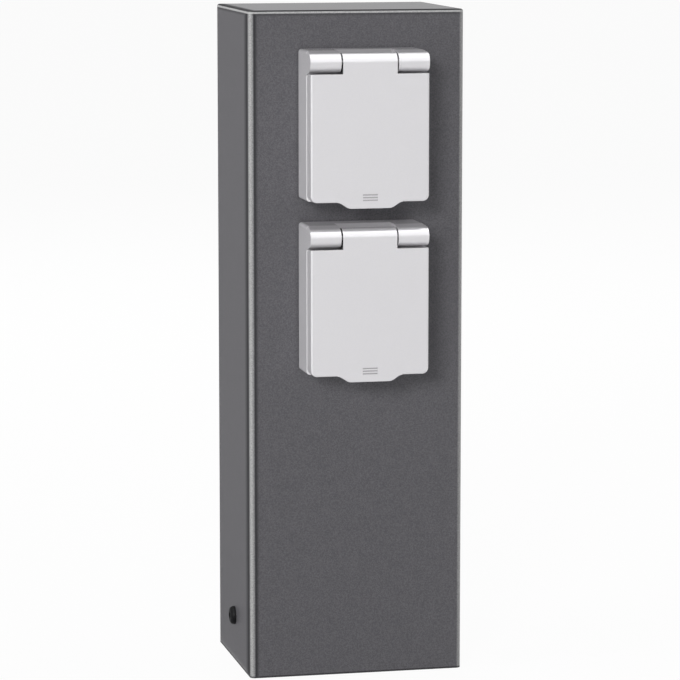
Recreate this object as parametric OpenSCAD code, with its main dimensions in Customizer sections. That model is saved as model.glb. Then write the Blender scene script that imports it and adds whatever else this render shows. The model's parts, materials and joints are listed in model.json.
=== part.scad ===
// Garden socket post: a hood over a ground bracket, with two lidded power outlets on its front.
// Sizes are in millimetres. The origin is on the ground under the middle of the hood, Z is up
// and the outlets face -Y.

/* [Hood] */
// Width of the hood, left to right
post_w = 140; // [124:1:180]
// Depth of the hood, front to back
post_d = 110; // [104:1:150]
// Height of the hood above the ground
post_h = 430; // [400:5:600]
// Thickness of the hood's walls
wall_t = 2; // [1.5:0.25:2.5]
// Radius of the hood's upright edges
edge_r = 3; // [3:0.5:8]
// Radius of the edges around the hood's top
top_edge_r = 1.5; // [1:0.25:2.5]

/* [Outlet layout] */
// Distance from the top of the hood down to the upper outlet
top_margin = 24; // [16:1:40]
// Distance between the two outlets, centre to centre
outlet_pitch = 110; // [106:1:130]

/* [Frame] */
// Width of an outlet's frame
frame_w = 76.5; // [75:0.5:84]
// Height of an outlet's frame
frame_h = 95; // [93:1:99]
// Depth of a frame without its gasket
frame_d = 24; // [23:0.5:28]
// Radius of a frame's corners, seen from the front
frame_corner_r = 2.2; // [2:0.1:3]
// Radius of a frame's front edge
frame_edge_r = 1; // [0.5:0.25:1.5]
// Thickness of a frame's walls
frame_wall = 2.5; // [2:0.25:2.75]
// Depth of a frame's face behind its rim
face_recess = 4.5; // [4:0.25:5.5]
// Thickness of a frame's face
face_t = 3; // [2:0.5:4]
// Thickness of the gasket between frame and hood
gasket_t = 1.5; // [1:0.25:2.5]

/* [Lid] */
// Thickness of a lid, front to back
lid_t = 11.8; // [11:0.2:14]
// Gap between a lid and the rim of its frame
lid_gap = 0.7; // [0.5:0.1:1]
// How far a lid stands in from its frame on each side
lid_inset = 0.2; // [0.1:0.1:1.2]
// Radius of a lid's lower corners, seen from the front
lid_corner_r = 4; // [2.5:0.5:5]
// Radius of a lid's front edge
lid_edge_r = 1.2; // [0.6:0.1:2]
// Thickness of a lid's front and sides
lid_wall = 2.6; // [2:0.2:3]
// Angle that a lid opens through, in degrees
lid_opens = 105; // [95:1:110]
// Width of the finger tab where it leaves the lid
tab_w = 42; // [36:1:48]
// Width of the finger tab at its lower edge
tab_tip_w = 25; // [18:1:32]
// Height of the finger tab
tab_h = 3.8; // [2:0.2:5]

/* [Hinge] */
// Outer radius of the hinge barrel
barrel_r = 6; // [5.6:0.2:6.6]
// Drop from the top of the frame to the top of the barrel
barrel_drop = 1.3; // [0.8:0.1:2]
// Width of each hinge lug
lug_w = 19.8; // [17:0.1:22]
// Gap at each side of a lid's knuckle, and between a lug and the lid below it
hinge_gap = 1; // [0.4:0.1:1]
// Radius of the hinge pin
pin_r = 1.5; // [1.2:0.1:1.8]
// Radius of the lid spring's wire
spring_wire_r = 0.45; // [0.35:0.05:0.5]
// Turns in the lid spring, besides the part turn to its legs
spring_turns = 4; // [3:1:5]

/* [Outlet] */
// Radius of the well that takes the plug
well_r = 19.75; // [19.5:0.05:20.25]
// Depth of the well
well_depth = 17.5; // [17:0.25:18]
// Thickness of the well's wall
cup_wall = 2.25; // [2:0.25:2.75]
// Distance between the two pin holes
pin_pitch = 19; // [18.5:0.1:19.5]
// Radius of a pin hole
pin_hole_r = 2.75; // [2.6:0.05:3]
// Distance from the frame's inner walls to the sealing collar round the cup
collar_margin = 6.25; // [5.5:0.25:7]

/* [Ground bracket] */
// Thickness of the bracket's plate
plate_t = 4; // [3:0.5:6]
// Thickness of the bracket's flanges and tongue
flange_t = 3; // [2:0.5:4]
// Radius of the four anchor holes
anchor_r = 4.5; // [3.5:0.5:5.5]
// Distance between anchor holes, left to right
anchor_x = 100; // [92:1:102]
// Distance between anchor holes, front to back
anchor_y = 76; // [68:1:80]
// Width of the window for the ground cable
cable_window_w = 80; // [50:1:80]
// Height of the side screws above the ground
side_screw_z = 30; // [22:1:40]
// Shank radius of the side screws
side_screw_r = 3; // [2.5:0.5:3]
// Head radius of the side screws
side_head_r = 6; // [5:0.25:6.5]
// Head height of the side screws
side_head_h = 3.3; // [2.5:0.1:4]

/* [Wiring] */
// Radius of a wire with its insulation
wire_r = 1.6; // [1.2:0.1:1.8]
// Distance between poles of the terminal block
pole_pitch = 14; // [12:0.5:15]
// Height of the terminal block's lower face above the ground
block_z = 70; // [60:1:85]

/* [Hidden] */
$fn = 64;
// Room between a fixed pin or screw and its hole
snug = 0.05;
// Room round a wire, or round a screw head that is sunk
easy = 0.2;
// Room between a screw and a hole that it passes through
screw_play = 0.3;
// Room between pieces that slide past each other in assembly
loose = 0.5;
// How far a cutting shape runs past the face it cuts
past = 1;

// Width of the slots and cross recesses in screw heads
slot_w = 0.8;

// Hood
inner_w = post_w - 2 * wall_t;
inner_d = post_d - 2 * wall_t;
inner_r = edge_r - wall_t;
front_y = -post_d / 2;
upper_z = post_h - top_margin - frame_h / 2;
lower_z = upper_z - outlet_pitch;

// Frame, in the outlet's own frame: origin on the hood's face at the middle of the frame
frame_top = frame_h / 2;
rim_y = -gasket_t - frame_d;
face_y = rim_y + face_recess;
face_back_y = face_y + face_t;

// Lid and hinge
lid_back_y = rim_y - lid_gap;
lid_front_y = lid_back_y - lid_t;
lid_w = frame_w - 2 * lid_inset;
lid_bottom = -frame_top + screw_play;
axis_y = lid_front_y + barrel_r;
axis_z = frame_top - barrel_drop - barrel_r;
pocket_w = frame_w - 2 * lug_w;
knuckle_w = pocket_w - 2 * hinge_gap;
// The lug's lower side falls this far from the barrel back to the rim
lug_fall = 2.2;
// How deep the lug's neck runs into the frame
lug_root = 3;
// Radius of a lug's upper outer corner
lug_corner_r = frame_corner_r + loose;
lug_bottom = axis_z - barrel_r;
shoulder_z = lug_bottom - hinge_gap;
// The lid is cut from a taller slab, which leaves its upper corners square
lid_slab_top = shoulder_z + lid_corner_r + past;
lid_slab_h = lid_slab_top - lid_bottom;
lid_inside_y = lid_front_y + lid_wall;
lid_ceiling = shoulder_z - lug_fall - lid_wall;
lid_floor = lid_bottom + lid_wall;
tab_t = 4;
// Three grooves above the finger tab give the thumb a hold
grip_w = 9.5;
grip_t = 0.8;
grip_z = 0.9;
grip_pitch = 1.7;
grip_depth = 0.8;
// The heel behind the knuckle meets the pocket's floor when the lid is fully open
heel_back = 6;
heel_drop = 0.4;
heel_top = barrel_r - heel_drop;
heel_t = 1.6;
heel_reach = norm([heel_back, heel_top]);
stop_play = 3;
pocket_floor = axis_z + heel_reach * sin(180 - atan2(heel_top, heel_back) + lid_opens + stop_play);
pocket_back_y = axis_y + heel_reach + loose;
// Behind the pocket the frame's top slopes up from a lip that stands lower than the heel
pocket_lip = axis_z + heel_top - 2 * loose;
pocket_slope_l = 8;
pocket_floor_t = 2;
bay_w = 14;
bay_wall = 1.4;
bay_r = barrel_r - bay_wall;
// Plastic left closed over the pin's far end
pin_cover = 3.5;
pin_end = frame_w / 2 - pin_cover;

// Face of the frame: a chamber under the pocket, with the outlet in its middle
chamber_w = frame_w - 2 * frame_wall;
chamber_top = pocket_floor - pocket_floor_t;
chamber_bottom = -frame_top + frame_wall;
chamber_h = chamber_top - chamber_bottom;
well_z = (chamber_top + chamber_bottom) / 2;
frame_screw_r = 2;
frame_head_r = 3.7;
frame_head_h = 2.4;
boss_wall = 2.5;
frame_boss_r = frame_screw_r + boss_wall;
chamber_r = 2;
frame_inside_r = frame_corner_r / 2;
frame_screw_inset = frame_head_r + loose;
frame_screw_x = chamber_w / 2 - frame_screw_inset;
frame_screw_z = chamber_h / 2 - frame_screw_inset;

// Cup, collar and seal: [width, height] outlines, one inside the other
collar_wall = 2;
collar_out = [chamber_w - 2 * collar_margin, chamber_h - 2 * collar_margin];
collar_in = collar_out - 2 * [collar_wall, collar_wall];
collar_r = 8;
collar_below_rim = 1.5;
collar_front_y = rim_y + collar_below_rim;
cup_flange = collar_in - 3 * [loose, loose];
cup_flange_t = 2.5;
cup_front_y = face_y - cup_flange_t;
cup_floor_y = cup_front_y + well_depth;
cup_floor_t = 3;
cup_back_y = cup_floor_y + cup_floor_t;
cup_r = well_r + cup_wall;
seal_overhang = 1.25;
seal_in = collar_in - 2 * [seal_overhang, seal_overhang];
seal_out = collar_out + 2 * [seal_overhang, seal_overhang];
seal_r = collar_r + seal_overhang;
seal_back_y = collar_front_y - screw_play;
seal_t = 4.6;
seal_front_y = seal_back_y - seal_t;
seal_seat = 2.2;
rib_t = 1.2;

// Earth strap, sleeves and carrier
strap_t = 0.9;
strap_w = 8;
strap_gap = 0.65;
strap_z = well_r - strap_gap;
strap_back_y = cup_back_y + screw_play + strap_t;
strap_play = 0.4;
strap_slot_w = strap_w + 2 * strap_play;
strap_slot_t = strap_t + 2 * strap_play;
clip_bow = 2;
carrier_front_y = strap_back_y + screw_play;
mount_plate_t = 1.5;
mount_plate_y = wall_t + mount_plate_t;
mount_thread_l = 2;
mount_thread_r = frame_screw_r + mount_plate_t;
frame_screw_l = mount_plate_y - face_y + mount_thread_l + past;
mount_inset = 2.5;
nose_w = 43;
nose_r = 3;
window_w = nose_w + 10 * loose;
window_r = nose_r + 2 * loose;
carrier_w = 56;
carrier_h = 48;
carrier_t = 18;
carrier_back_y = mount_plate_y + carrier_t;
sleeve_r = 3.3;
sleeve_bore_r = 2.55;
sleeve_l = 17;
sleeve_end_y = carrier_front_y + loose + sleeve_l;
sleeve_slit = 0.8;
sleeve_base = 1.8;
centre_screw_r = 1.75;
centre_screw_l = 14;
centre_head_r = 3.2;
centre_head_h = 1.8;
centre_sink = centre_head_h + easy;
centre_screw_tip_y = cup_floor_y + centre_sink + centre_screw_l;
terminal_screw_r = 1.5;
terminal_head_r = 2.7;
terminal_head_h = 2;
wire_hole_y = mount_plate_y + carrier_t / 2;
wire_hole_depth = 9;
terminal_screw_l = carrier_t / 2 - wire_r - easy - screw_play;
terminal_screw_z = (wire_hole_depth - carrier_h) / 2;
terminal_tip_y = carrier_back_y - terminal_screw_l;
wire_end_gap = 1;
// Slots beside the well that guide the plug
guide_w = 5.5;
guide_depth = 1.3;

// Bracket and terminal block, in the part's own frame
bracket_w = inner_w - 2 * loose;
bracket_d = inner_d - 2 * loose;
flange_above_screw = 17;
side_flange_h = side_screw_z + flange_above_screw;
side_flange_w = 60;
flange_corner_r = 0.6;
insert_wall = 1.4;
insert_r = side_screw_r + insert_wall;
insert_rim = 1.6;
insert_rim_r = insert_r + insert_rim;
insert_rim_t = 1.2;
insert_l = 12;
side_shank_l = 14;
side_head_edge = 2.4;
side_key_d = 4.6;
side_key_depth = 1.8;
near_wire_y = front_y + wire_hole_y;
wire_clear = 2;
far_wire_y = front_y + carrier_back_y + terminal_head_h + wire_clear + wire_r;
block_side = 10;
block_front_skin = 8;
block_back_skin = 5;
block_w = 2 * (pole_pitch + block_side);
block_front_y = near_wire_y - block_front_skin;
block_back_y = far_wire_y + block_back_skin;
block_h = 26;
block_top = block_z + block_h;
block_mid_z = block_z + block_h / 2;
clamp_z = (block_h - wire_hole_depth) / 2;
clamp_sink = terminal_head_h + 2 * loose;
clamp_l = block_front_skin - clamp_sink - wire_r - easy - screw_play;
block_screw_r = 1.75;
block_head_r = 3;
block_head_h = 2.4;
block_head_sink = 4;
block_screw_x = block_w / 2 - block_head_r - loose;
supply_hole_r = wire_r + 2 * loose;
tongue_margin = 2;
tongue_w = block_w + 2 * tongue_margin;
tongue_front_y = block_back_y;
tongue_back_y = tongue_front_y + flange_t;
earth_bolt_r = 3;
earth_hex_d = 11.5;
earth_head_h = 4;
earth_nut_h = 5;
earth_tail = 9;
earth_drop = 26;
earth_z = block_z - earth_drop;
window_inset = 5;
cable_window_front = tongue_back_y + window_inset;
cable_window_back = anchor_y / 2;

// Plain shapes

// Rectangle with round corners, centred
module round_rect(w, h, r) {
    square([w - 2 * r, h], center = true);
    square([w, h - 2 * r], center = true);
    for (x = [-1, 1], y = [-1, 1])
        translate([x * (w / 2 - r), y * (h / 2 - r)])
            circle(r);
}

// Side view of a slab whose two upper edges are rounded
module round_topped(w, t, e) {
    translate([-w / 2, 0])
        square([w, t - e]);
    translate([-w / 2 + e, 0])
        square([w - 2 * e, t]);
    for (x = [-1, 1])
        translate([x * (w / 2 - e), t - e])
            circle(e);
}

// Draws a flat outline, given in Y and Z, as a bar along X
module along_x(length) {
    rotate([90, 0, 90])
        linear_extrude(length, center = true)
            children();
}

// Stands a shape drawn on the XY plane up, so that its base lies at y and its height points to -Y
module facing_front(y) {
    translate([0, y, 0])
        rotate([90, 0, 0])
            children();
}

// Slab with corners of radius r and an upper edge of radius e
module soft_slab(w, h, t, r, e) {
    along_x(w - 2 * r)
        round_topped(h, t, e);
    rotate([90, 0, 0])
        linear_extrude(h - 2 * r, center = true)
            round_topped(w, t, e);
    for (turn = [0 : 3]) {
        x = turn == 0 || turn == 3 ? 1 : -1;
        y = turn < 2 ? 1 : -1;
        translate([x * (w / 2 - r), y * (h / 2 - r), 0])
            rotate([0, 0, 90 * turn])
                rotate_extrude(angle = 90)
                    intersection() {
                        round_topped(2 * r, t, e);
                        square([r, t]);
                    }
    }
}

// Cylinder along Y, from y0 back to y1
module pin_y(r, y0, y1) {
    translate([0, y0, 0])
        rotate([-90, 0, 0])
            cylinder(r = r, h = y1 - y0);
}

// Cylinder along X, from x0 to x1
module pin_x(r, x0, x1) {
    translate([x0, 0, 0])
        rotate([0, 90, 0])
            cylinder(r = r, h = x1 - x0);
}

// Puts a child at each of an outlet's four frame screws
module at_frame_screws() {
    for (x = [-1, 1], z = [-1, 1])
        translate([x * frame_screw_x, 0, well_z + z * frame_screw_z])
            children();
}

// Puts a child at each of an outlet's three terminals
module at_poles() {
    for (x = [-1, 0, 1])
        translate([x * pole_pitch, 0, 0])
            children();
}

// Puts a child on both sides, turned so that its own X points out of the hood
module at_both_sides() {
    for (turn = [0, 180])
        rotate([0, 0, turn])
            children();
}

module at_upper() {
    translate([0, front_y, upper_z])
        children();
}

module at_lower() {
    translate([0, front_y, lower_z])
        children();
}

// Hood and ground bracket

module post_housing() {
    color([0.30, 0.31, 0.32])
        difference() {
            soft_slab(post_w, post_d, post_h, edge_r, top_edge_r);
            translate([0, 0, -past])
                linear_extrude(post_h - wall_t + past)
                    round_rect(inner_w, inner_d, inner_r);
            for (z = [upper_z, lower_z])
                translate([0, front_y, z]) {
                    translate([0, 0, well_z])
                        facing_front(wall_t + past)
                            linear_extrude(wall_t + 2 * past)
                                round_rect(window_w, window_w, window_r);
                    at_frame_screws()
                        pin_y(frame_screw_r + screw_play, -past, wall_t + past);
                }
            translate([0, 0, side_screw_z])
                pin_x(side_screw_r + screw_play, -post_w / 2 - past, post_w / 2 + past);
        }
}

module base_bracket() {
    flange_x = bracket_w / 2 - flange_t;
    color([0.70, 0.72, 0.74])
        difference() {
            union() {
                linear_extrude(plate_t)
                    round_rect(bracket_w, bracket_d, inner_r);
                at_both_sides()
                    translate([flange_x + flange_t / 2, 0, side_flange_h / 2])
                        along_x(flange_t)
                            round_rect(side_flange_w, side_flange_h, flange_corner_r);
                translate([-tongue_w / 2, tongue_front_y, 0])
                    cube([tongue_w, flange_t, block_top]);
            }
            for (x = [-1, 1], y = [-1, 1])
                translate([x * anchor_x / 2, y * anchor_y / 2, -past])
                    cylinder(r = anchor_r, h = plate_t + 2 * past);
            translate([-cable_window_w / 2, cable_window_front, -past])
                cube([cable_window_w, cable_window_back - cable_window_front, plate_t + 2 * past]);
            at_both_sides()
                translate([0, 0, side_screw_z])
                    pin_x(insert_r + snug, flange_x - past, bracket_w / 2 + past);
            for (x = [-1, 1])
                translate([x * block_screw_x, 0, block_mid_z])
                    pin_y(block_screw_r + snug, tongue_front_y - past, tongue_back_y + past);
            translate([0, 0, earth_z])
                pin_y(earth_bolt_r + screw_play, tongue_front_y - past, tongue_back_y + past);
        }
}

// Rivet nuts in the flanges, with their rims on the inner side
module insert_nuts() {
    rim_x = bracket_w / 2 - flange_t;
    color([0.80, 0.78, 0.70])
        at_both_sides()
            translate([0, 0, side_screw_z])
                difference() {
                    union() {
                        pin_x(insert_r, bracket_w / 2 - insert_l, bracket_w / 2);
                        pin_x(insert_rim_r, rim_x - insert_rim_t, rim_x);
                    }
                    pin_x(side_screw_r + snug, bracket_w / 2 - insert_l - past, bracket_w / 2 + past);
                }
}

// Pan-headed screws with hexagon sockets
module housing_screws() {
    color([0.05, 0.05, 0.05])
        at_both_sides()
            translate([post_w / 2, 0, side_screw_z])
                difference() {
                    union() {
                        pin_x(side_screw_r, -side_shank_l, snug);
                        rotate([0, 90, 0])
                            rotate_extrude()
                                intersection() {
                                    round_topped(2 * side_head_r, side_head_h, side_head_edge);
                                    square(2 * side_head_r);
                                }
                    }
                    translate([side_head_h - side_key_depth, 0, 0])
                        rotate([0, 90, 0])
                            cylinder(d = side_key_d, h = side_key_depth + past, $fn = 6);
                }
}

// Wiring in the foot

module terminal_block() {
    color([0.85, 0.85, 0.80])
        difference() {
            translate([-block_w / 2, block_front_y, block_z])
                cube([block_w, block_back_y - block_front_y, block_h]);
            at_poles() {
                for (y = [near_wire_y, far_wire_y])
                    translate([0, y, block_top - wire_hole_depth])
                        cylinder(r = wire_r + easy, h = wire_hole_depth + past);
                translate([0, (near_wire_y + far_wire_y) / 2, block_z - past])
                    cylinder(r = supply_hole_r, h = wire_hole_depth + past);
                for (z = [-clamp_z, clamp_z])
                    translate([0, block_front_y + clamp_sink, block_mid_z + z]) {
                        pin_y(terminal_head_r + easy, -clamp_sink - past, 0);
                        pin_y(terminal_screw_r + snug, -past, clamp_l + snug);
                    }
            }
            for (x = [-1, 1])
                translate([x * block_screw_x, block_front_y + block_head_sink, block_mid_z]) {
                    pin_y(block_head_r + easy, -block_head_sink - past, 0);
                    pin_y(block_screw_r + snug, -past, block_back_y - block_front_y);
                }
        }
}

// Slotted screw along Y with the underside of its head at the origin, pointing into the post
module slotted_screw(head_r, head_h, shank_r, shank_l) {
    difference() {
        union() {
            pin_y(head_r, -head_h, 0);
            pin_y(shank_r, -head_h / 2, shank_l);
        }
        translate([-head_r - past, -head_h - past, -slot_w / 2])
            cube([2 * (head_r + past), past + slot_w, slot_w]);
    }
}

// Screw along Y with a cross recess, placed like the slotted one
module cross_screw(head_r, head_h, shank_r, shank_l) {
    difference() {
        union() {
            pin_y(head_r, -head_h, 0);
            pin_y(shank_r, -head_h / 2, shank_l);
        }
        for (turn = [0, 90])
            rotate([0, turn, 0])
                translate([-0.6 * head_r, -head_h - past, -slot_w / 2])
                    cube([1.2 * head_r, past + 1.6 * slot_w, slot_w]);
    }
}

module clamp_screws() {
    color([0.85, 0.70, 0.35])
        at_poles()
            for (z = [-clamp_z, clamp_z])
                translate([0, block_front_y + clamp_sink - snug, block_mid_z + z])
                    slotted_screw(terminal_head_r, terminal_head_h, terminal_screw_r, clamp_l);
}

module block_screws() {
    color([0.75, 0.76, 0.78])
        for (x = [-1, 1])
            translate([x * block_screw_x, block_front_y + block_head_sink - snug, block_mid_z])
                cross_screw(block_head_r, block_head_h, block_screw_r, tongue_back_y - block_front_y - past);
}

module earth_bolt() {
    color([0.75, 0.76, 0.78])
        translate([0, 0, earth_z]) {
            pin_y(earth_bolt_r, tongue_front_y - past, tongue_back_y + earth_tail);
            translate([0, tongue_front_y, 0])
                rotate([90, 0, 0])
                    cylinder(d = earth_hex_d, h = earth_head_h, $fn = 6);
        }
}

module earth_nut() {
    color([0.80, 0.70, 0.35])
        translate([0, tongue_back_y, earth_z])
            rotate([-90, 0, 0])
                difference() {
                    cylinder(d = earth_hex_d, h = earth_nut_h, $fn = 6);
                    translate([0, 0, -past])
                        cylinder(r = earth_bolt_r + snug, h = earth_nut_h + 2 * past);
                }
}

// Quarter bend of a wire about a centre: turned 0 it leads from +Y up to +Z
module wire_bend(bend_r, turned) {
    rotate([90, 0, 90])
        rotate([0, 0, turned])
            rotate_extrude(angle = 90)
                translate([bend_r, 0])
                    circle(wire_r);
}

// One pole's two wires: straight up to the lower outlet, and past it to the upper one
module pole_wires(pole) {
    start_z = block_top - wire_hole_depth + wire_end_gap;
    entry_z = well_z - carrier_h / 2 + wire_hole_depth - wire_end_gap;
    bend_r = (far_wire_y - near_wire_y) / 2;
    bend_z = upper_z + well_z - carrier_h / 2 - 4 * bend_r;
    translate([pole * pole_pitch, 0, 0]) {
        translate([0, near_wire_y, start_z])
            cylinder(r = wire_r, h = lower_z + entry_z - start_z);
        translate([0, far_wire_y, start_z])
            cylinder(r = wire_r, h = bend_z - start_z);
        translate([0, far_wire_y - bend_r, bend_z])
            wire_bend(bend_r, 0);
        translate([0, near_wire_y + bend_r, bend_z + 2 * bend_r])
            wire_bend(bend_r, 180);
        translate([0, near_wire_y, bend_z + 2 * bend_r])
            cylinder(r = wire_r, h = upper_z + entry_z - bend_z - 2 * bend_r);
    }
}

module line_wires() {
    color([0.35, 0.20, 0.12])
        pole_wires(-1);
}

module neutral_wires() {
    color([0.15, 0.30, 0.65])
        pole_wires(1);
}

module earth_wires() {
    color([0.45, 0.60, 0.10])
        pole_wires(0);
}

// Outlet pieces, each drawn in the outlet's own frame

module gasket() {
    color([0.08, 0.08, 0.08])
        difference() {
            facing_front(0)
                linear_extrude(gasket_t)
                    round_rect(frame_w - 2 * loose, frame_h - 2 * loose, frame_corner_r - loose);
            translate([0, 0, well_z])
                facing_front(past)
                    linear_extrude(gasket_t + 2 * past)
                        round_rect(window_w + 2 * loose, window_w + 2 * loose, window_r);
            at_frame_screws()
                pin_y(frame_screw_r + screw_play, -gasket_t - past, past);
        }
}

// Side view of a hinge lug: the barrel, and the neck that joins it to the frame
module lug_outline() {
    rise = [axis_y - rim_y, frame_top - axis_z];
    meet = atan2(rise[1], rise[0]) - acos(barrel_r / norm(rise));
    meet_r = barrel_r - 0.02;
    translate([axis_y, axis_z])
        circle(barrel_r);
    polygon([
        [rim_y + lug_root, frame_top],
        [rim_y, frame_top],
        [axis_y - meet_r * cos(meet), axis_z + meet_r * sin(meet)],
        [axis_y, lug_bottom],
        [rim_y, lug_bottom - lug_fall],
        [rim_y + lug_root, lug_bottom - lug_fall]
    ]);
}

// Side view of the room for the knuckle and its heel, open to the front and the top
module pocket_outline() {
    slope = (frame_top - pocket_lip) / pocket_slope_l;
    polygon([
        [lid_front_y - past, pocket_floor],
        [pocket_back_y, pocket_floor],
        [pocket_back_y, pocket_lip],
        [pocket_back_y + pocket_slope_l + past / slope, frame_top + past],
        [lid_front_y - past, frame_top + past]
    ]);
}

module outlet_frame() {
    color([0.82, 0.83, 0.84])
        difference() {
            union() {
                difference() {
                    facing_front(-gasket_t)
                        soft_slab(frame_w, frame_h, frame_d, frame_corner_r, frame_edge_r);
                    facing_front(past)
                        linear_extrude(past - face_back_y)
                            round_rect(chamber_w, frame_h - 2 * frame_wall, frame_inside_r);
                    translate([0, 0, well_z])
                        facing_front(face_y)
                            linear_extrude(face_recess + past)
                                round_rect(chamber_w, chamber_h, chamber_r);
                }
                for (x = [-1, 1])
                    intersection() {
                        translate([x * (frame_w - lug_w + past) / 2, 0, 0])
                            along_x(lug_w + past)
                                lug_outline();
                        facing_front(0)
                            linear_extrude(-lid_front_y + past)
                                round_rect(frame_w, frame_h, lug_corner_r);
                    }
                at_frame_screws()
                    pin_y(frame_boss_r, face_back_y - loose, -gasket_t);
                translate([0, 0, well_z])
                    facing_front(face_y + loose)
                        linear_extrude(face_y + loose - collar_front_y)
                            difference() {
                                round_rect(collar_out[0], collar_out[1], collar_r);
                                round_rect(collar_in[0], collar_in[1], collar_r - collar_wall);
                            }
            }
            translate([0, 0, well_z])
                pin_y(cup_r + screw_play, face_y - past, face_back_y + past);
            at_frame_screws()
                pin_y(frame_screw_r + screw_play, face_y - past, past);
            along_x(pocket_w)
                pocket_outline();
            translate([0, axis_y, axis_z])
                pin_x(pin_r + snug / 2, -pin_end - loose, frame_w / 2 + past);
        }
}

module frame_screws() {
    color([0.75, 0.76, 0.78])
        at_frame_screws()
            translate([0, face_y, 0])
                cross_screw(frame_head_r, frame_head_h, frame_screw_r, frame_screw_l);
}

// Plate behind the hood's wall that takes the frame's screws
module mounting_plate() {
    color([0.78, 0.80, 0.82])
        difference() {
            union() {
                facing_front(mount_plate_y)
                    linear_extrude(mount_plate_t)
                        round_rect(frame_w - 2 * mount_inset, frame_h - 2 * mount_inset, nose_r);
                at_frame_screws()
                    pin_y(mount_thread_r, wall_t + mount_plate_t / 2, mount_plate_y + mount_thread_l);
            }
            translate([0, 0, well_z])
                facing_front(mount_plate_y + past)
                    linear_extrude(mount_plate_t + 2 * past)
                        round_rect(nose_w + 2 * screw_play, nose_w + 2 * screw_play, nose_r + screw_play);
            at_frame_screws()
                pin_y(frame_screw_r + snug, wall_t - past, mount_plate_y + mount_thread_l + past);
        }
}

// Round cup that takes the plug, with a square flange on the frame's face
module cup() {
    color([0.20, 0.21, 0.22])
        translate([0, 0, well_z])
            difference() {
                union() {
                    facing_front(face_y)
                        linear_extrude(cup_flange_t)
                            round_rect(cup_flange[0], cup_flange[1], collar_r - collar_wall);
                    pin_y(cup_r, face_y - loose, cup_back_y);
                }
                pin_y(well_r, cup_front_y - past, cup_floor_y);
                for (x = [-1, 1]) {
                    translate([x * well_r - guide_depth, cup_front_y - past, -guide_w / 2])
                        cube([2 * guide_depth, well_depth + past, guide_w]);
                    translate([x * pin_pitch / 2, 0, 0])
                        pin_y(pin_hole_r, cup_floor_y - past, cup_back_y + past);
                }
                for (z = [-1, 1])
                    translate([0, cup_floor_y + cup_floor_t / 2, z * (strap_z - strap_t / 2)])
                        cube([strap_slot_w, 2 * cup_floor_t, strap_slot_t], center = true);
                pin_y(centre_head_r + easy, cup_floor_y - past, cup_floor_y + centre_sink);
                pin_y(centre_screw_r + easy, cup_floor_y, cup_back_y + past);
            }
}

module centre_screw() {
    color([0.75, 0.76, 0.78])
        translate([0, cup_floor_y + centre_sink - snug, well_z])
            slotted_screw(centre_head_r, centre_head_h, centre_screw_r, centre_screw_l);
}

// Side view of one earth clip: a strip along the well's wall that bows in towards the plug
module clip_outline() {
    tip_y = cup_front_y + well_depth / 6;
    bow_y = cup_front_y + well_depth / 2;
    foot_y = cup_front_y + well_depth * 0.8;
    polygon([
        [strap_back_y, strap_z],
        [foot_y, strap_z],
        [bow_y, strap_z - clip_bow],
        [tip_y, strap_z],
        [tip_y, strap_z - strap_t],
        [bow_y, strap_z - clip_bow - strap_t],
        [foot_y, strap_z - strap_t],
        [strap_back_y, strap_z - strap_t]
    ]);
}

// Bridge across the back of the cup with a clip at each end
module earth_strap() {
    color([0.80, 0.78, 0.72])
        translate([0, 0, well_z])
            difference() {
                union() {
                    along_x(strap_w)
                        clip_outline();
                    mirror([0, 0, 1])
                        along_x(strap_w)
                            clip_outline();
                    translate([-strap_w / 2, strap_back_y - strap_t, -strap_z])
                        cube([strap_w, strap_t, 2 * strap_z]);
                }
                pin_y(centre_screw_r + easy, strap_back_y - strap_t - past, strap_back_y + past);
            }
}

// Slit brass tubes that grip the plug's pins
module sleeves() {
    first_y = carrier_front_y + loose;
    color([0.85, 0.68, 0.30])
        for (x = [-1, 1])
            translate([x * pin_pitch / 2, 0, well_z])
                difference() {
                    pin_y(sleeve_r, first_y, first_y + sleeve_l);
                    pin_y(sleeve_bore_r, first_y - past, first_y + sleeve_l - sleeve_base);
                    translate([-sleeve_slit / 2, first_y - past, 0])
                        cube([sleeve_slit, past + sleeve_l * 0.7, sleeve_r + past]);
                }
}

// Block that carries the contacts: a nose through the wall and a wider body behind the plate
module carrier() {
    color([0.88, 0.87, 0.84])
        translate([0, 0, well_z])
            difference() {
                union() {
                    facing_front(mount_plate_y + loose)
                        linear_extrude(mount_plate_y + loose - carrier_front_y)
                            round_rect(nose_w, nose_w, nose_r);
                    facing_front(carrier_back_y)
                        linear_extrude(carrier_t)
                            round_rect(carrier_w, carrier_h, nose_r);
                }
                for (x = [-1, 1])
                    translate([x * pin_pitch / 2, 0, 0])
                        pin_y(sleeve_r + snug, carrier_front_y - past, sleeve_end_y + loose);
                pin_y(centre_screw_r + snug, carrier_front_y - past, centre_screw_tip_y + loose);
                at_poles() {
                    translate([0, 0, terminal_screw_z])
                        pin_y(terminal_screw_r + snug, terminal_tip_y - snug, carrier_back_y + past);
                    translate([0, wire_hole_y, -carrier_h / 2 - past])
                        cylinder(r = wire_r + easy, h = wire_hole_depth + past);
                }
            }
}

module carrier_screws() {
    color([0.85, 0.70, 0.35])
        at_poles()
            translate([0, carrier_back_y, well_z + terminal_screw_z])
                rotate([0, 0, 180])
                    slotted_screw(terminal_head_r, terminal_head_h, terminal_screw_r, terminal_screw_l);
}

module hinge_pin() {
    color([0.75, 0.76, 0.78])
        translate([0, axis_y, axis_z])
            pin_x(pin_r, -pin_end, frame_w / 2 - loose);
}

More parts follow.
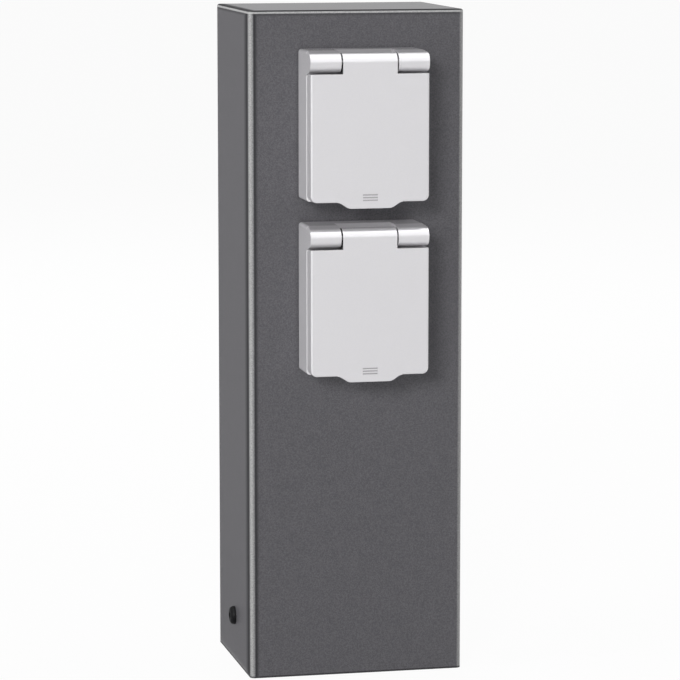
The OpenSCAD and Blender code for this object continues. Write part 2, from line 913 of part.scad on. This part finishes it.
// Points along the lid spring's wire, from the leg on the pocket's floor to the leg under the heel
spring_r = (bay_r + pin_r) / 2 + easy;
spring_pitch = 2 * spring_wire_r + loose;
spring_steps = 10;
spring_first = -65;
spring_last = 90 + 360 * spring_turns;
spring_points = ceil((spring_last - spring_first) * spring_steps / 360);
spring_leg_drop = axis_z - pocket_floor + spring_r * sin(spring_first) - spring_wire_r - easy;
spring_leg = spring_leg_drop / cos(spring_first);
function spring_at(a) = [
    spring_pitch * (a - (spring_first + spring_last) / 2) / 360,
    -spring_r * cos(a),
    spring_r * sin(a)
];
spring_path = concat(
    [spring_at(spring_first) + spring_leg * [0, -sin(spring_first), -cos(spring_first)]],
    [for (i = [0 : spring_points])
        spring_at(spring_first + (spring_last - spring_first) * i / spring_points)],
    [spring_at(spring_last) + [0, heel_back - 2 * loose, 0]]
);
// Least room between two turns, measured on points at least half a turn apart
spring_room = min([
    for (i = [0 : len(spring_path) - 1], j = [i + spring_steps / 2 : len(spring_path) - 1])
        norm(spring_path[i] - spring_path[j])
]) - 2 * spring_wire_r;
echo(spring_room = spring_room);

// Round tube along a path that never runs along X
module tube(path, r, sides) {
    last = len(path) - 1;
    rings = [
        for (i = [0 : last])
            let (
                step = path[min(i + 1, last)] - path[max(i - 1, 0)],
                ahead = step / norm(step),
                out = cross(ahead, [1, 0, 0]),
                side_a = out / norm(out),
                side_b = cross(side_a, ahead)
            )
            [for (k = [0 : sides - 1])
                path[i] + r * (cos(360 * k / sides) * side_a + sin(360 * k / sides) * side_b)]
    ];
    polyhedron(
        points = [for (ring = rings) each ring],
        faces = concat(
            [[for (k = [0 : sides - 1]) k]],
            [for (i = [0 : last - 1], k = [0 : sides - 1])
                [i * sides + k, (i + 1) * sides + k,
                 (i + 1) * sides + (k + 1) % sides, i * sides + (k + 1) % sides]],
            [[for (k = [sides - 1 : -1 : 0]) last * sides + k]]
        )
    );
}

module lid_spring() {
    color([0.75, 0.76, 0.78])
        translate([0, axis_y, axis_z])
            tube(spring_path, spring_wire_r, 6);
}

// Side view of the knuckle: the barrel, the arm down to the lid and the heel that stops it
module knuckle_outline() {
    translate([axis_y, axis_z])
        circle(barrel_r);
    translate([lid_front_y, lid_ceiling])
        square([1.5 * lid_wall, axis_z - screw_play - lid_ceiling]);
    translate([lid_front_y, lid_ceiling])
        square([barrel_r + heel_t, axis_z - barrel_r / 2 - lid_ceiling]);
    translate([axis_y, axis_z + heel_top - 2 * heel_t])
        square([heel_back, 2 * heel_t]);
}

// Front view of the finger tab, whose sides are soft waves
module tab_outline() {
    steps = 8;
    wave = [
        for (i = [0 : steps])
            let (t = i / steps)
            [(tab_w + (tab_tip_w - tab_w) * t) / 2, lid_bottom - tab_h * (1 - cos(180 * t)) / 2]
    ];
    polygon(concat(
        [[tab_w / 2, lid_bottom + tab_t]],
        wave,
        [for (i = [steps : -1 : 0]) [-wave[i][0], wave[i][1]]],
        [[-tab_w / 2, lid_bottom + tab_t]]
    ));
}

module lid() {
    color([0.84, 0.85, 0.86])
        difference() {
            union() {
                difference() {
                    translate([0, 0, lid_bottom + lid_slab_h / 2])
                        facing_front(lid_back_y)
                            soft_slab(lid_w, lid_slab_h, lid_t, lid_corner_r, lid_edge_r);
                    translate([0, 0, (lid_ceiling + lid_floor) / 2])
                        facing_front(lid_back_y + past)
                            linear_extrude(lid_t + past - lid_wall)
                                round_rect(lid_w - 2 * lid_wall, lid_ceiling - lid_floor, chamber_r);
                    along_x(lid_w + 2 * past)
                        polygon([
                            [lid_front_y - past, shoulder_z],
                            [axis_y, shoulder_z],
                            [rim_y, shoulder_z - lug_fall],
                            [rim_y, lid_slab_top + past],
                            [lid_front_y - past, lid_slab_top + past]
                        ]);
                }
                along_x(knuckle_w)
                    knuckle_outline();
                facing_front(lid_front_y + tab_t)
                    linear_extrude(tab_t)
                        tab_outline();
                translate([0, 0, well_z])
                    seal_channel();
            }
            for (i = [0 : 2])
                translate([-grip_w / 2, lid_front_y - past, lid_bottom + grip_z + grip_pitch * i])
                    cube([grip_w, past + grip_depth, grip_t]);
            translate([0, axis_y, axis_z])
                pin_x(pin_r + snug, -knuckle_w / 2 - past, knuckle_w / 2 + past);
            translate([0, axis_y, axis_z]) {
                pin_x(bay_r, -bay_w / 2, bay_w / 2);
                translate([-bay_w / 2, 0, -barrel_r - past])
                    cube([bay_w, heel_back + past, barrel_r + past + heel_top - heel_t]);
            }
        }
}

// Two ribs inside the lid with a web between them, which hold the seal
module seal_channel() {
    rib_back_y = seal_front_y + seal_seat;
    outer_in = seal_out + 2 * [snug, snug];
    inner_out = seal_in - 2 * [snug, snug];
    inner_r = collar_r - collar_wall - seal_overhang;
    facing_front(rib_back_y)
        linear_extrude(rib_back_y - lid_inside_y + loose) {
            difference() {
                round_rect(outer_in[0] + 2 * rib_t, outer_in[1] + 2 * rib_t, seal_r + rib_t);
                round_rect(outer_in[0], outer_in[1], seal_r);
            }
            difference() {
                round_rect(inner_out[0], inner_out[1], inner_r);
                round_rect(inner_out[0] - 2 * rib_t, inner_out[1] - 2 * rib_t, inner_r - rib_t);
            }
        }
    facing_front(seal_front_y - snug)
        linear_extrude(rib_t)
            difference() {
                round_rect(outer_in[0] + rib_t, outer_in[1] + rib_t, seal_r + rib_t / 2);
                round_rect(inner_out[0] - rib_t, inner_out[1] - rib_t, inner_r - rib_t / 2);
            }
}

module lid_seal() {
    color([0.06, 0.06, 0.06])
        translate([0, 0, well_z])
            facing_front(seal_back_y)
                linear_extrude(seal_t)
                    difference() {
                        round_rect(seal_out[0], seal_out[1], seal_r);
                        round_rect(seal_in[0], seal_in[1], collar_r - collar_wall - seal_overhang);
                    }
}

// The pieces of each outlet in their places

module upper_gasket() {
    at_upper()
        gasket();
}

module upper_frame() {
    at_upper()
        outlet_frame();
}

module upper_frame_screws() {
    at_upper()
        frame_screws();
}

module upper_mounting_plate() {
    at_upper()
        mounting_plate();
}

module upper_cup() {
    at_upper()
        cup();
}

module upper_centre_screw() {
    at_upper()
        centre_screw();
}

module upper_earth_strap() {
    at_upper()
        earth_strap();
}

module upper_sleeves() {
    at_upper()
        sleeves();
}

module upper_carrier() {
    at_upper()
        carrier();
}

module upper_carrier_screws() {
    at_upper()
        carrier_screws();
}

module upper_hinge_pin() {
    at_upper()
        hinge_pin();
}

module upper_lid_spring() {
    at_upper()
        lid_spring();
}

module upper_lid() {
    at_upper()
        lid();
}

module upper_lid_seal() {
    at_upper()
        lid_seal();
}

module lower_gasket() {
    at_lower()
        gasket();
}

module lower_frame() {
    at_lower()
        outlet_frame();
}

module lower_frame_screws() {
    at_lower()
        frame_screws();
}

module lower_mounting_plate() {
    at_lower()
        mounting_plate();
}

module lower_cup() {
    at_lower()
        cup();
}

module lower_centre_screw() {
    at_lower()
        centre_screw();
}

module lower_earth_strap() {
    at_lower()
        earth_strap();
}

module lower_sleeves() {
    at_lower()
        sleeves();
}

module lower_carrier() {
    at_lower()
        carrier();
}

module lower_carrier_screws() {
    at_lower()
        carrier_screws();
}

module lower_hinge_pin() {
    at_lower()
        hinge_pin();
}

module lower_lid_spring() {
    at_lower()
        lid_spring();
}

module lower_lid() {
    at_lower()
        lid();
}

module lower_lid_seal() {
    at_lower()
        lid_seal();
}

post_housing();
base_bracket();
insert_nuts();
housing_screws();
terminal_block();
clamp_screws();
block_screws();
earth_bolt();
earth_nut();
line_wires();
neutral_wires();
earth_wires();
upper_gasket();
upper_frame();
upper_frame_screws();
upper_mounting_plate();
upper_cup();
upper_centre_screw();
upper_earth_strap();
upper_sleeves();
upper_carrier();
upper_carrier_screws();
upper_hinge_pin();
upper_lid_spring();
upper_lid();
upper_lid_seal();
lower_gasket();
lower_frame();
lower_frame_screws();
lower_mounting_plate();
lower_cup();
lower_centre_screw();
lower_earth_strap();
lower_sleeves();
lower_carrier();
lower_carrier_screws();
lower_hinge_pin();
lower_lid_spring();
lower_lid();
lower_lid_seal();
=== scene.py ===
"""Looks of the garden socket post: finishes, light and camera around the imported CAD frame."""
import json
import math
import bpy
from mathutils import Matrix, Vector


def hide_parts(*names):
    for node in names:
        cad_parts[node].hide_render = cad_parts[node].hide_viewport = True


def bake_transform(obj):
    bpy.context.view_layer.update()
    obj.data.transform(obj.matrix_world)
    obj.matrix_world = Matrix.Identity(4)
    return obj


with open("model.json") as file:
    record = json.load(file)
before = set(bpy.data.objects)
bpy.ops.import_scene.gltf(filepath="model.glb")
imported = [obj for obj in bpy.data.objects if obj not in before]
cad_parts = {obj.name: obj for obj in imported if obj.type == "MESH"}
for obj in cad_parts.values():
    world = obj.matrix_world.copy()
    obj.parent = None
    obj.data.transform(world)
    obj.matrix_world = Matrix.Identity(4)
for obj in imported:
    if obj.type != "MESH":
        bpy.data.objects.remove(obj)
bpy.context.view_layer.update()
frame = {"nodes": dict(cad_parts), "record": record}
nodes = frame["nodes"]
scene = bpy.context.scene

# Sizes of the hood in metres, used to find its edges
HOOD_HALF_WIDTH = 0.070
HOOD_HALF_DEPTH = 0.055
HOOD_HEIGHT = 0.430
UPRIGHT_EDGE = 0.003
TOP_EDGE = 0.0015
# Height of the painted contact shadow along the hood's foot
FOOT_SHADOW_HEIGHT = 0.0012

# Distances from the hood's edges are counted so that a colour ramp from 0 to 1 can hold them
COUNT_PER_METRE = 100
EDGE_COUNT = 0.5
# Counted depth below the top at which the top's painted highlight ends
TOP_HIGHLIGHT_END = 0.2
# Distances on the hood's sides and on its top count less, so that the painted highlight and shade bands
# there come out wider
SIDE_SCALE = 0.2
TOP_SCALE = 0.3

# Sizes of the outlets in metres, used to find their joints
LOWER_OUTLET = 0.2485
OUTLET_PITCH = 0.110
LID_FRONT = -0.093
LUG_BOTTOM = 0.0342
KNUCKLE_HALF = 0.01745
HINGE_GAP = 0.001
GRIP_BOTTOM = -0.0463
GRIP_HEIGHT = 0.0042
GRIP_HALF_WIDTH = 0.00475
GRIP_REACH = 0.001
GRIP_ROOM = 0.00025

# A face looks along an axis where its normal's share on that axis is over this
FACING = 0.7

# Shares of painted shade on the lid's shoulders under the hinge gaps and in its grip grooves
SHOULDER_SHADE_SHARE = 0.5
GROOVE_SHADE_SHARE = 0.45
# Share by which the painted shade in the hinge gaps on the right is lessened
RIGHT_SHADE_CUT = 0.7

# Shares of painted shade beside the hood's painted highlights, and of the painted contact shadow along its
# foot
LEFT_SHADE_SHARE = 0.8
UNDER_TOP_SHADE_SHARE = 0.45
ABOVE_TOP_SHADE_SHARE = 0.8
FOOT_SHADOW_SHARE = 0.7

# Levels of a noise at which a surface has its dark and its pale shade
DARK_LEVEL = 0.35
PALE_LEVEL = 0.65

# Sockets of a mix node that carry colours, after those for numbers and vectors
MIX_FACTOR = 0
MIX_FIRST = 6
MIX_SECOND = 7
MIX_RESULT = 2


# Shader nodes

def new_material(name):
    """An empty material, its node tree and its shader."""
    material = bpy.data.materials.new(name)
    material.use_nodes = True
    tree = material.node_tree
    return material, tree, tree.nodes["Principled BSDF"]


def math_node(tree, operation, result, *others):
    """Output of an operation on two or more sockets or numbers, taken in turn."""
    for other in others:
        node = tree.nodes.new("ShaderNodeMath")
        node.operation = operation
        for socket, value in zip(node.inputs, (result, other)):
            if isinstance(value, (int, float)):
                socket.default_value = value
            else:
                tree.links.new(value, socket)
        result = node.outputs[0]
    return result


def ramp_node(tree, source, stops):
    """Output of a colour ramp with stops of (position, grey or colour)."""
    ramp = tree.nodes.new("ShaderNodeValToRGB")
    elements = ramp.color_ramp.elements
    while len(elements) < len(stops):
        elements.new(0.5)
    for element, (position, colour) in zip(elements, stops):
        if isinstance(colour, (int, float)):
            colour = (colour, colour, colour)
        element.position = position
        element.color = (*colour, 1)
    tree.links.new(source, ramp.inputs["Fac"])
    return ramp.outputs["Color"]


def mix_colours(tree, factor, first, second, blend="MIX"):
    """Output of a colour mix, with a socket or a number as its factor."""
    mix = tree.nodes.new("ShaderNodeMix")
    mix.data_type = "RGBA"
    mix.blend_type = blend
    if isinstance(factor, (int, float)):
        mix.inputs[MIX_FACTOR].default_value = factor
    else:
        tree.links.new(factor, mix.inputs[MIX_FACTOR])
    for socket, value in ((mix.inputs[MIX_FIRST], first), (mix.inputs[MIX_SECOND], second)):
        if isinstance(value, tuple):
            socket.default_value = (*value, 1)
        else:
            tree.links.new(value, socket)
    return mix.outputs[MIX_RESULT]


def mix_shaders(tree, factor, first, second, out):
    """Mixes two shaders by a factor into the surface of an output node."""
    mix = tree.nodes.new("ShaderNodeMixShader")
    tree.links.new(factor, mix.inputs[0])
    tree.links.new(first.outputs[0], mix.inputs[1])
    tree.links.new(second.outputs[0], mix.inputs[2])
    tree.links.new(mix.outputs[0], out.inputs["Surface"])


def split_axes(tree, kind):
    """X, Y and Z of a surface's place, "Object", or of its direction, "Normal", in the CAD's frame."""
    coords = tree.nodes.new("ShaderNodeTexCoord")
    axes = tree.nodes.new("ShaderNodeSeparateXYZ")
    tree.links.new(coords.outputs[kind], axes.inputs[0])
    return axes.outputs["X"], axes.outputs["Y"], axes.outputs["Z"]


def noise_node(tree, scale, detail=2.0):
    """Output of a noise from 0 to 1 in the CAD's frame."""
    coords = tree.nodes.new("ShaderNodeTexCoord")
    noise = tree.nodes.new("ShaderNodeTexNoise")
    noise.inputs["Scale"].default_value = scale
    noise.inputs["Detail"].default_value = detail
    tree.links.new(coords.outputs["Object"], noise.inputs["Vector"])
    return noise.outputs["Fac"]


def grain(tree, shader, scale, strength, distance):
    """Fine bumps over the whole surface. Gives the noise that they follow."""
    height = noise_node(tree, scale)
    bump = tree.nodes.new("ShaderNodeBump")
    bump.inputs["Strength"].default_value = strength
    bump.inputs["Distance"].default_value = distance
    tree.links.new(height, bump.inputs["Height"])
    tree.links.new(bump.outputs["Normal"], shader.inputs["Normal"])
    return height


def between(tree, value, low, high):
    """One where the value lies between two limits."""
    above = math_node(tree, "GREATER_THAN", value, low)
    below = math_node(tree, "LESS_THAN", value, high)
    return math_node(tree, "MULTIPLY", above, below)


def uneven(tree, shader, factor, colour, spread, roughness, rough_spread):
    """Roughness and colour that wander with a noise factor. Gives the colour's output."""
    dark = tuple(value * (1 - spread) for value in colour)
    pale = tuple(min(value * (1 + spread), 1) for value in colour)
    rough = ramp_node(tree, factor, [(DARK_LEVEL, roughness - rough_spread),
                                     (PALE_LEVEL, roughness + rough_spread)])
    tree.links.new(rough, shader.inputs["Roughness"])
    return ramp_node(tree, factor, [(DARK_LEVEL, dark), (PALE_LEVEL, pale)])


# Coat of the hood

def hood_edges(tree, x, y):
    """How near the front's upright edges are, and how near the top's left and front edges.

    A millimetre counts 0.1, and 0.5 is where a face turns into its rounded edge.
    """
    across = math_node(tree, "ABSOLUTE", x, 0)
    leftward = math_node(tree, "MULTIPLY", x, -1)
    forward = math_node(tree, "MULTIPLY", y, -1)

    def past(value, limit, scale):
        over = math_node(tree, "SUBTRACT", value, limit)
        return math_node(tree, "MAXIMUM", over, math_node(tree, "MULTIPLY", over, scale))

    def counted(metres):
        return math_node(tree, "ADD", math_node(tree, "MULTIPLY", metres, COUNT_PER_METRE), EDGE_COUNT)

    upright = math_node(tree, "MINIMUM",
                        past(across, HOOD_HALF_WIDTH - UPRIGHT_EDGE, 1),
                        past(forward, HOOD_HALF_DEPTH - UPRIGHT_EDGE, SIDE_SCALE))
    rim = math_node(tree, "MAXIMUM",
                    past(leftward, HOOD_HALF_WIDTH - TOP_EDGE, TOP_SCALE),
                    past(forward, HOOD_HALF_DEPTH - TOP_EDGE, TOP_SCALE))
    return counted(upright), counted(rim)


def coated_metal():
    """Anthracite powder coat with pale and dark grains, with painted highlights along its edges, painted
    shade beside them and a painted contact shadow along its foot.
    """
    material, tree, shader = new_material("anthracite_coat")
    shader.inputs["Roughness"].default_value = 0.38
    shader.inputs["Specular IOR Level"].default_value = 0.28
    speckle = grain(tree, shader, scale=1500, strength=0.2, distance=0.0002)
    x, y, z = split_axes(tree, "Object")
    upright, rim = hood_edges(tree, x, y)
    # Depth below the top, where a millimetre counts 0.1 and the top itself is 0
    drop = math_node(tree, "MULTIPLY", math_node(tree, "SUBTRACT", HOOD_HEIGHT, z), COUNT_PER_METRE)

    colour = ramp_node(tree, speckle, [(DARK_LEVEL, (0.079, 0.077, 0.085)),
                                       (PALE_LEVEL, (0.118, 0.115, 0.125))])
    clouds = ramp_node(tree, noise_node(tree, scale=130, detail=4.0), [(0.3, 0.93), (0.7, 1.0)])
    colour = mix_colours(tree, 1.0, colour, clouds, "MULTIPLY")

    # Painted highlights: pale lines on the front's upright edges and round the top
    upright_highlight_colour = ramp_node(tree, speckle, [(0.25, 0.215), (0.75, 0.415)])
    top_highlight_colour = ramp_node(tree, speckle, [(0.3, 0.34), (0.7, 0.52)])
    upright_highlight = ramp_node(tree, upright, [(0.49, 0.0), (0.55, 0.5), (0.68, 1.0)])
    top_highlight = ramp_node(tree, drop, [(0.06, 0.0), (0.09, 1.0), (0.18, 1.0), (0.21, 0.0)])
    colour = mix_colours(tree, upright_highlight, colour, upright_highlight_colour)
    colour = mix_colours(tree, top_highlight, colour, top_highlight_colour)
    tree.links.new(colour, shader.inputs["Base Color"])

    # Painted shade: dark bands beside the left upright highlight, under and above the top's highlight, and a
    # painted contact shadow along the foot
    left = math_node(tree, "LESS_THAN", x, 0)
    below_top_highlight = math_node(tree, "GREATER_THAN", drop, TOP_HIGHLIGHT_END)
    off_upright_highlight = math_node(tree, "SUBTRACT", 1, upright_highlight)
    left_edge_shade = ramp_node(tree, upright, [(0.22, 0.0), (0.40, LEFT_SHADE_SHARE), (0.48, LEFT_SHADE_SHARE), (0.51, 0.0)])
    under_top_shade = ramp_node(tree, drop, [(0.19, 0.0), (0.21, UNDER_TOP_SHADE_SHARE),
                                       (0.27, UNDER_TOP_SHADE_SHARE), (0.38, 0.0)])
    above_top_shade = ramp_node(tree, drop, [(0.055, ABOVE_TOP_SHADE_SHARE), (0.085, 0.0)])
    near_rim = ramp_node(tree, rim, [(0.36, 0.0), (0.46, 1.0)])
    # Painted contact shadow along the foot
    foot_shadow = math_node(tree, "LESS_THAN", z, FOOT_SHADOW_HEIGHT)
    shade_bands = math_node(tree, "MAXIMUM",
                      math_node(tree, "MULTIPLY", left_edge_shade, left, below_top_highlight),
                      math_node(tree, "MULTIPLY", under_top_shade, off_upright_highlight),
                      math_node(tree, "MULTIPLY", above_top_shade, near_rim),
                      math_node(tree, "MULTIPLY", foot_shadow, FOOT_SHADOW_SHARE))
    # Dark diffuse shader that paints the shade into these bands
    painted_shade = tree.nodes.new("ShaderNodeBsdfDiffuse")
    painted_shade.inputs["Color"].default_value = (0.035, 0.035, 0.037, 1)
    mix_shaders(tree, shade_bands, shader, painted_shade, tree.nodes["Material Output"])
    return material


# Finishes of the other pieces

def painted_joint_shade(tree):
    """Share of painted shade in the outlets' hinge gaps and grip grooves, weaker in the gaps on the right.
    """
    x, y, z = split_axes(tree, "Object")
    facing_x, _, facing_z = split_axes(tree, "Normal")
    across = math_node(tree, "ABSOLUTE", x, 0)
    sideways = math_node(tree, "ABSOLUTE", facing_x, 0)

    # Height above the middle of the outlet, the same for both
    height = math_node(tree, "SUBTRACT", z, LOWER_OUTLET - OUTLET_PITCH / 2)
    height = math_node(tree, "FLOORED_MODULO", height, OUTLET_PITCH)
    height = math_node(tree, "SUBTRACT", height, OUTLET_PITCH / 2)

    shoulder = math_node(tree, "MULTIPLY",
                         between(tree, height, LUG_BOTTOM - 4 * HINGE_GAP, LUG_BOTTOM - HINGE_GAP / 2),
                         math_node(tree, "GREATER_THAN", facing_z, FACING),
                         SHOULDER_SHADE_SHARE)
    cheek = math_node(tree, "MULTIPLY",
                      between(tree, across, KNUCKLE_HALF - HINGE_GAP / 2, KNUCKLE_HALF + 1.5 * HINGE_GAP),
                      math_node(tree, "GREATER_THAN", sideways, FACING))
    lighter_right = math_node(tree, "MULTIPLY", math_node(tree, "GREATER_THAN", x, 0), RIGHT_SHADE_CUT)
    # Painted shade in the hinge gaps, weaker on the right
    hinge_shade = math_node(tree, "MULTIPLY",
                      math_node(tree, "MAXIMUM", shoulder, cheek),
                      math_node(tree, "SUBTRACT", 1, lighter_right))
    # Painted shade in the grip grooves
    groove_shade = math_node(tree, "MULTIPLY",
                       between(tree, height, GRIP_BOTTOM - GRIP_ROOM, GRIP_BOTTOM + GRIP_HEIGHT + GRIP_ROOM),
                       between(tree, y, LID_FRONT + GRIP_ROOM, LID_FRONT + GRIP_REACH),
                       math_node(tree, "LESS_THAN", across, GRIP_HALF_WIDTH + GRIP_ROOM),
                       GROOVE_SHADE_SHARE)
    return math_node(tree, "MAXIMUM", hinge_shade, groove_shade)


def silver_lacquer(name, colour, joint_shade_colour):
    """Plastic under silver lacquer, part metal flake and part pale base, with painted shade in the hinge
    gaps and grip grooves.
    """
    material, tree, shader = new_material(name)
    shader.inputs["Metallic"].default_value = 0.4
    flake = grain(tree, shader, scale=2500, strength=0.04, distance=0.0001)
    shade = uneven(tree, shader, flake, colour, spread=0.015, roughness=0.22, rough_spread=0.02)
    # Mixes the dark painted shade into the lacquer's colour in the joints
    tree.links.new(mix_colours(tree, painted_joint_shade(tree), shade, joint_shade_colour), shader.inputs["Base Color"])
    return material


def satin_plastic(name, colour, roughness, gloss=0.5):
    """Moulded plastic with a barely visible tooth."""
    material, tree, shader = new_material(name)
    shader.inputs["Specular IOR Level"].default_value = gloss
    tooth = grain(tree, shader, scale=2500, strength=0.05, distance=0.0001)
    shade = uneven(tree, shader, tooth, colour, spread=0.05, roughness=roughness, rough_spread=0.04)
    tree.links.new(shade, shader.inputs["Base Color"])
    return material


def metal(name, colour, roughness):
    """Plain plated metal with slight unevenness."""
    material, tree, shader = new_material(name)
    shader.inputs["Metallic"].default_value = 1.0
    cloud = grain(tree, shader, scale=900, strength=0.05, distance=0.0001)
    shade = uneven(tree, shader, cloud, colour, spread=0.06, roughness=roughness, rough_spread=0.06)
    tree.links.new(shade, shader.inputs["Base Color"])
    return material


finishes = {
    "anthracite_coat": coated_metal(),
    # The dark grey is painted shade for the hinge gaps and grip grooves
    "silver_plastic": silver_lacquer("silver_plastic", (0.70, 0.69, 0.71), joint_shade_colour=(0.14, 0.14, 0.145)),
    "cup_plastic": satin_plastic("cup_plastic", (0.62, 0.62, 0.635), roughness=0.4),
    "black_steel": satin_plastic("black_steel", (0.008, 0.008, 0.009), roughness=0.45, gloss=0.12),
    "zinc_steel": metal("zinc_steel", (0.55, 0.56, 0.57), roughness=0.38),
    "bright_steel": metal("bright_steel", (0.6, 0.6, 0.6), roughness=0.3),
    "brass": metal("brass", (0.75, 0.55, 0.22), roughness=0.3),
    "pale_plastic": satin_plastic("pale_plastic", (0.75, 0.74, 0.7), roughness=0.5),
    "brown_sheath": satin_plastic("brown_sheath", (0.1, 0.045, 0.02), roughness=0.45),
    "blue_sheath": satin_plastic("blue_sheath", (0.03, 0.1, 0.35), roughness=0.45),
    "green_sheath": satin_plastic("green_sheath", (0.2, 0.35, 0.03), roughness=0.45),
    "black_rubber": satin_plastic("black_rubber", (0.02, 0.02, 0.02), roughness=0.7),
}

slots = {part["node"]: part["material_slot"] for part in frame["record"]["subparts"]}
for name, node in nodes.items():
    node.data.materials.clear()
    node.data.materials.append(finishes[slots[name]])


# Springs

def twisting_spring(side):
    """Copy of a lid spring, baked in place, which stands in for the hidden CAD spring."""
    name = f"{side}_lid_spring"
    spring = bpy.data.objects.new(f"{side}_twisting_spring", nodes[name].data.copy())
    scene.collection.objects.link(spring)
    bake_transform(spring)
    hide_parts(name)


twisting_spring("upper")
twisting_spring("lower")


# Studio

# Point that the lamps face, and the point that the camera circles
POST_MIDDLE = Vector((0, -0.05, 0.25))
VIEW_MIDDLE = Vector((0, -0.015, 0.2125))
# Strength at which an emission or the world looks white
WHITE = 1.0
# Grey of the cards that the hood's side mirrors in place of the white world
FLAG_LEVEL = 0.34


def outward(azimuth, elevation):
    """Direction away from the post: azimuth 0 is to its front, and less is to its left."""
    a, e = math.radians(azimuth), math.radians(elevation)
    return Vector((math.sin(a) * math.cos(e), -math.cos(a) * math.cos(e), math.sin(e)))


def around(azimuth, elevation, distance):
    """Place at a distance from the post's middle."""
    return POST_MIDDLE + distance * outward(azimuth, elevation)


def seen_ray(tree):
    """One where the camera, or a mirror or glass in front of it, looks at the surface."""
    path = tree.nodes.new("ShaderNodeLightPath")
    return math_node(tree, "MAXIMUM", path.outputs["Is Camera Ray"], path.outputs["Is Glossy Ray"],
                     path.outputs["Is Transmission Ray"])


def floor_plane(whiteness):
    """Pale floor that looks almost white to the camera and still shows the object's shadow."""
    bpy.ops.mesh.primitive_plane_add(size=40, location=(0, 8, 0))
    floor = bpy.context.object
    floor.name = "floor"
    material, tree, shader = new_material("floor_white")
    shader.inputs["Base Color"].default_value = (0.9, 0.9, 0.9, 1)
    shader.inputs["Roughness"].default_value = 0.9
    shader.inputs["Specular IOR Level"].default_value = 0.1
    white = tree.nodes.new("ShaderNodeEmission")
    white.inputs["Strength"].default_value = WHITE
    share = math_node(tree, "MULTIPLY", seen_ray(tree), whiteness)
    mix_shaders(tree, share, shader, white, tree.nodes["Material Output"])
    floor.data.materials.append(material)


def white_world(level):
    """Even light from all round: level for lighting, plain white where it is seen."""
    world = bpy.data.worlds.new("studio")
    scene.world = world
    world.use_nodes = True
    tree = world.node_tree
    tree.nodes.clear()
    lit = tree.nodes.new("ShaderNodeBackground")
    seen = tree.nodes.new("ShaderNodeBackground")
    for shader, strength in ((lit, level), (seen, WHITE)):
        shader.inputs["Strength"].default_value = strength
        shader.inputs["Color"].default_value = (1, 1, 1, 1)
    mix_shaders(tree, seen_ray(tree), lit, seen, tree.nodes.new("ShaderNodeOutputWorld"))


def soft_box(name, place, width, height, radiance, lights=True, mirrored=True):
    """Area lamp that faces the post, as bright as radiance times white.

    With lights off it is only mirrored, and with mirrored off it only lights.
    """
    lamp = bpy.data.lights.new(name, "AREA")
    lamp.shape = "RECTANGLE"
    lamp.size = width
    lamp.size_y = height
    lamp.energy = radiance * math.pi * width * height
    holder = bpy.data.objects.new(name, lamp)
    scene.collection.objects.link(holder)
    holder.location = place
    holder.rotation_euler = (POST_MIDDLE - place).to_track_quat("-Z", "Y").to_euler()
    holder.visible_diffuse = lights
    holder.visible_glossy = mirrored


def dark_flag(name, place, size, level, tilt=0):
    """Card beside the hood that only mirror reflections see, which keeps glare off its side."""
    bpy.ops.mesh.primitive_plane_add(size=1, location=place, rotation=(math.radians(tilt), 0, 0))
    card = bpy.context.object
    card.name = name
    card.scale = (*size, 1)
    material, tree, _ = new_material(name)
    grey = tree.nodes.new("ShaderNodeEmission")
    grey.inputs["Strength"].default_value = level
    tree.links.new(grey.outputs[0], tree.nodes["Material Output"].inputs["Surface"])
    card.data.materials.append(material)
    card.visible_camera = False
    card.visible_diffuse = False
    card.visible_shadow = False


floor_plane(whiteness=0.95)
white_world(level=0.17)

# The key lights the front, the fills light the sides and the back without glare, the cards are only mirrored
left_place = around(-80, 4, 2.4)
soft_box("key", around(-26, 17, 5.4), width=1.2, height=1.2, radiance=33.0)
soft_box("left_fill", left_place, width=0.7, height=1.4, radiance=11.2, mirrored=False)
soft_box("left_card", left_place, width=0.7, height=1.4, radiance=2.5, lights=False)
soft_box("right_fill", around(86, 4, 2.4), width=0.7, height=1.4, radiance=5.0, mirrored=False)
soft_box("back_fill", around(175, 36, 2.6), width=1.2, height=1.2, radiance=7.0, mirrored=False)
soft_box("front_card", around(12, 39, 2.4), width=2.0, height=2.2, radiance=0.95, lights=False)
soft_box("top_card", around(0, 88, 2.0), width=2.2, height=2.0, radiance=1.75, lights=False)
dark_flag("back_flag", (-0.48, 0.25, 0.275), size=(0.8, 0.55), level=FLAG_LEVEL, tilt=90)
dark_flag("low_flag", (-0.471, 0.1, 0.001), size=(0.8, 0.5), level=FLAG_LEVEL)


# Camera

def add_camera(azimuth, elevation, distance, yaw, pitch, lens):
    """Camera on a sphere round the object's middle, turned by small yaw and pitch angles."""
    data = bpy.data.cameras.new("camera")
    data.sensor_width = 36
    data.lens = lens
    data.clip_end = 100
    camera = bpy.data.objects.new("camera", data)
    scene.collection.objects.link(camera)
    camera.location = VIEW_MIDDLE + distance * outward(azimuth, elevation)
    camera.rotation_euler = outward(azimuth + yaw, elevation + pitch).to_track_quat("Z", "Y").to_euler()
    scene.camera = camera


add_camera(azimuth=-12.645, elevation=8.072, distance=2.2338, yaw=0.053, pitch=-0.021, lens=181.01)

scene.view_settings.view_transform = "Standard"
